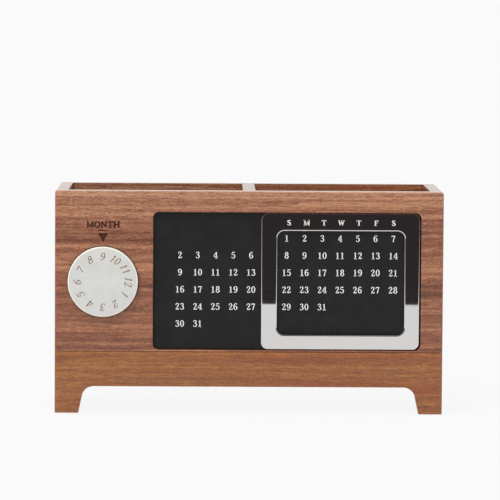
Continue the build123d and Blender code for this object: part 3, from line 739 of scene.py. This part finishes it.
grown(
    "printed_dates", dates_tree(),
    upright(FIRST_COLUMN_X + (COLUMNS - 1) * COLUMN_PITCH / 2, plate_low[1], FIRST_ROW_Z - (ROWS - 1) * ROW_PITCH / 2),
    "case", columns=COLUMNS, rows=ROWS, column_pitch=COLUMN_PITCH, row_pitch=ROW_PITCH, advance=DATE_ADVANCE,
    digits=print_digits, ink=white_ink,
)
grown(
    "weekday_initials", row_tree(),
    upright(slider_low[0] + FIRST_WEEKDAY_FROM_LEFT, slider_low[1], slider_high[2] - WEEKDAY_BELOW_TOP),
    "slider", count=len(WEEKDAYS), pitch=WEEKDAY_PITCH, letters=weekday_letters, ink=silver_ink,
)
grown(
    "month_numbers", dial_tree(), upright(DIAL_X, dial_low[1], DIAL_Z), "dial", count=MONTHS, top=MONTH_ON_TOP,
    radius=MONTH_NUMBER_RADIUS, advance=MONTH_NUMBER_ADVANCE, digits=dial_digits, ink=tan_ink,
)


# ---- the engraved front ------------------------------------------------------------------------------------
WELD = 0.001 * MM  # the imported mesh's corners closer than this are one


def prism(shape, corners, depth):
    """Adds a polygon on the XY plane to a bmesh as a closed slab, from -depth to depth."""
    rings = [[shape.verts.new((x, y, z)) for x, y in corners] for z in (depth, -depth)]
    shape.faces.new(rings[0])
    shape.faces.new(rings[1][::-1])
    for k in range(len(corners)):
        j = (k + 1) % len(corners)
        shape.faces.new((rings[1][k], rings[1][j], rings[0][j], rings[0][k]))


def engraving_cutter(char):
    """The word over the dial, a bar and a pointer, as one solid that reaches into the front by their depth."""
    letters = [glyph_mesh(f"label_{c}", c, LABEL_PEN, LABEL_HEIGHT, 2 * ENGRAVED, LABEL_STRETCH) for c in LABEL]
    widths = [max(v.co.x for v in mesh.vertices) * 2 for mesh in letters]
    gap = (LABEL_WIDTH - sum(widths)) / (len(letters) - 1)
    shape = bmesh.new()
    left = -LABEL_WIDTH / 2
    for mesh, width in zip(letters, widths):
        mesh.transform(Matrix.Translation((left + width / 2, LABEL_ABOVE_DIAL, -ENGRAVED)))
        shape.from_mesh(mesh)
        left += width + gap
    half = POINTER_WIDTH / 2
    prism(shape, [(-half, POINTER_TOP), (0.0, POINTER_TIP), (half, POINTER_TOP)], ENGRAVED)
    low, high = BAR_ABOVE_DIAL - BAR_HEIGHT / 2, BAR_ABOVE_DIAL + BAR_HEIGHT / 2
    prism(shape, [(-half, low), (half, low), (half, high), (-half, high)], ENGRAVED)
    bmesh.ops.recalc_face_normals(shape, faces=shape.faces)
    mesh = bpy.data.meshes.new("engraving_cutter")
    shape.to_mesh(mesh)
    shape.free()
    mesh.transform(upright(DIAL_X, front_low[1], DIAL_Z))
    mesh.materials.append(char)
    cutter = bpy.data.objects.new("engraving_cutter", mesh)
    bpy.context.scene.collection.objects.link(cutter)
    return cutter


def engraved_front():
    """The front panel with its engraved marks cut in."""
    shape = bmesh.new()
    shape.from_mesh(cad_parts["front_panel"].data)
    bmesh.ops.remove_doubles(shape, verts=shape.verts, dist=WELD)
    mesh = bpy.data.meshes.new("engraved_front")
    shape.to_mesh(mesh)
    shape.free()
    mesh.materials.clear()
    mesh.materials.append(paint["front_panel"])
    panel = bpy.data.objects.new("engraved_front", mesh)
    bpy.context.scene.collection.objects.link(panel)
    cutter = engraving_cutter(burnt_walnut())
    cut = panel.modifiers.new("engrave", "BOOLEAN")
    cut.operation = "DIFFERENCE"
    cut.solver = "EXACT"
    cut.use_self = True
    cut.material_mode = "TRANSFER"
    cut.object = cutter
    seen = bpy.context.evaluated_depsgraph_get()
    result = bpy.data.meshes.new_from_object(panel.evaluated_get(seen), preserve_all_data_layers=True, depsgraph=seen)
    panel.modifiers.clear()
    panel.data = result
    bpy.data.objects.remove(cutter)
    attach(panel, "case")
    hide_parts("front_panel")


engraved_front()


# ---- floor, lights and camera ------------------------------------------------------------------------------
BACKGROUND = "fafafa"
TABLE_HALF = 6.0
TABLE_GLOW = 0.945  # the table near the object mostly glows evenly, and a dark matt part on top takes the shadow
PLAIN_FROM, PLAIN_TO = 0.16, 0.42  # from the origin: between these the lit table fades into the plain background

# What the polished slider sees in front of it is a painted reflection on the table, shown to mirrors only: the plain
# pale table near by, and past a line on Y a plain dark room.
TABLE_PALE = "e6e6e6"
DARK_ROOM = "302b2c"
PAINTED_ROOM_EDGE = (-0.752, -0.740)  # on Y, from the dark side of the soft edge to the pale one


def painted_mirror_view(tree, place):
    """The painted reflection that a mirror on the table sees in it: the pale table near by, and past a line on Y a dark
    room painted on the table.
    """
    depth = add(tree, "ShaderNodeSeparateXYZ", place).node.outputs["Y"]
    pale_in_mirrors = add(tree, MAP_RANGE, depth, *PAINTED_ROOM_EDGE, 0.0, 1.0)
    return add(tree, MIX, named={0: pale_in_mirrors, 6: hex_colour(DARK_ROOM), 7: hex_colour(TABLE_PALE)}, out=2,
               data_type="RGBA")


def pale_table():
    """The floor. The camera sees it evenly pale, with the object's shadow. Mirrors see a painted reflection of a room
    on it.
    """
    mesh = bpy.data.meshes.new("pale_table")
    half = TABLE_HALF
    mesh.from_pydata([(-half, -half, 0), (half, -half, 0), (half, half, 0), (-half, half, 0)], [], [(0, 1, 2, 3)])
    floor = bpy.data.objects.new("pale_table", mesh)
    bpy.context.scene.collection.objects.link(floor)
    material, tree, shader, place = new_material("white laminate table")
    rays = add(tree, "ShaderNodeLightPath").node.outputs
    wire(tree, shader, {"Base Color": hex_colour(TABLE_PALE), "Roughness": 0.9, "Specular IOR Level": 0.0})
    # Glossy rays see the table glow with the painted reflection of the room.
    seen = add(tree, "ShaderNodeEmission", painted_mirror_view(tree, place))
    shaded = add(tree, "ShaderNodeBsdfDiffuse", hex_colour("404040"))
    glow = add(tree, "ShaderNodeEmission", hex_colour(BACKGROUND), TABLE_GLOW)
    near = add(tree, "ShaderNodeAddShader", shaded, glow)
    far = add(tree, "ShaderNodeEmission", hex_colour(BACKGROUND))
    away = add(tree, VECTOR_MATH, place, operation="LENGTH", out="Value")
    plain = add(tree, MAP_RANGE, away, PLAIN_FROM, PLAIN_TO, 0.0, 1.0)
    to_camera = add(tree, "ShaderNodeMixShader", plain, near, far)
    lit = add(tree, "ShaderNodeMixShader", rays["Is Camera Ray"], shader.outputs[0], to_camera)
    wire(tree, tree.nodes["Material Output"], {
        "Surface": add(tree, "ShaderNodeMixShader", rays["Is Glossy Ray"], lit, seen)})
    mesh.materials.append(material)


FRONT_TO_SIDE = (-0.35, -0.15)  # on a direction's Y: from the dark room in front to the pale one beside it
LOW_TO_HIGH = (0.3, 0.9)  # on its Z: from the side walls to the ceiling


def studio_world():
    """White to the camera. Light for the object. For mirrors, a dark room in front and a pale one elsewhere."""
    world = bpy.data.worlds.new("studio")
    bpy.context.scene.world = world
    world.use_nodes = True
    tree = world.node_tree
    rays = add(tree, "ShaderNodeLightPath").node.outputs
    direction = add(tree, "ShaderNodeSeparateXYZ", add(tree, "ShaderNodeTexCoord")).node.outputs
    not_in_front = add(tree, MAP_RANGE, direction["Y"], *FRONT_TO_SIDE, 0.0, 1.0)
    mirrored = add(tree, COLOUR_RAMP, not_in_front, stops=[(0.0, DARK_ROOM), (1.0, "f4f2ef")])
    above = add(tree, MAP_RANGE, direction["Z"], *LOW_TO_HIGH, 0.0, 1.0)
    light = add(tree, COLOUR_RAMP, above, stops=[(0.0, "aeaeae"), (1.0, "f4f4f4")])
    light = add(tree, MIX, named={0: rays["Is Glossy Ray"], 6: light, 7: mirrored}, out=2, data_type="RGBA")
    plain = hex_colour(BACKGROUND)
    seen = add(tree, MIX, named={0: rays["Is Camera Ray"], 6: light, 7: plain}, out=2, data_type="RGBA")
    wire(tree, tree.nodes["Background"], {"Color": seen, "Strength": 1.0})


LIT_POINT = (0, 0, 0.06)  # about the object's middle


def softbox(name, place, size, energy):
    """A square area light that points at the object and isn't seen in mirrors."""
    light = bpy.data.lights.new(name, "AREA")
    light.size = size
    light.energy = energy
    lamp = bpy.data.objects.new(name, light)
    lamp.location = place
    lamp.rotation_euler = (Vector(LIT_POINT) - Vector(place)).to_track_quat("-Z", "Y").to_euler()
    lamp.visible_glossy = False
    bpy.context.scene.collection.objects.link(lamp)


PHOTO_PIXELS = 500
FOCAL_PIXELS = 3569.9
SENSOR_WIDTH = 36.0  # millimetres, as Blender has it
CAMERA_PLACE = (-0.0241, -2.1, 0.2531)
CAMERA_PAN = -0.0119  # radians
CAMERA_DOWN = 0.0761
CAMERA_ROLL = 0.0062
SEES_TO = 50.0


def photo_camera():
    """Where the photograph was taken from, fitted to the object's edges in it."""
    camera = bpy.data.objects.new("camera", bpy.data.cameras.new("camera"))
    camera.data.sensor_width = SENSOR_WIDTH
    camera.data.lens = FOCAL_PIXELS / PHOTO_PIXELS * SENSOR_WIDTH
    camera.data.clip_end = SEES_TO
    pan = Matrix.Rotation(CAMERA_PAN, 4, "Z")
    down = Matrix.Rotation(pi / 2 - CAMERA_DOWN, 4, "X")
    roll = Matrix.Rotation(CAMERA_ROLL, 4, "Z")
    camera.matrix_world = Matrix.Translation(CAMERA_PLACE) @ (pan @ down @ roll)
    bpy.context.scene.collection.objects.link(camera)
    bpy.context.scene.camera = camera


pale_table()
studio_world()
softbox("key", (-0.55, -0.9, 1.5), 0.45, 14.0)
softbox("front", (-0.3, -1.9, 0.75), 0.3, 9.5)
photo_camera()
bpy.context.scene.view_settings.view_transform = "Standard"
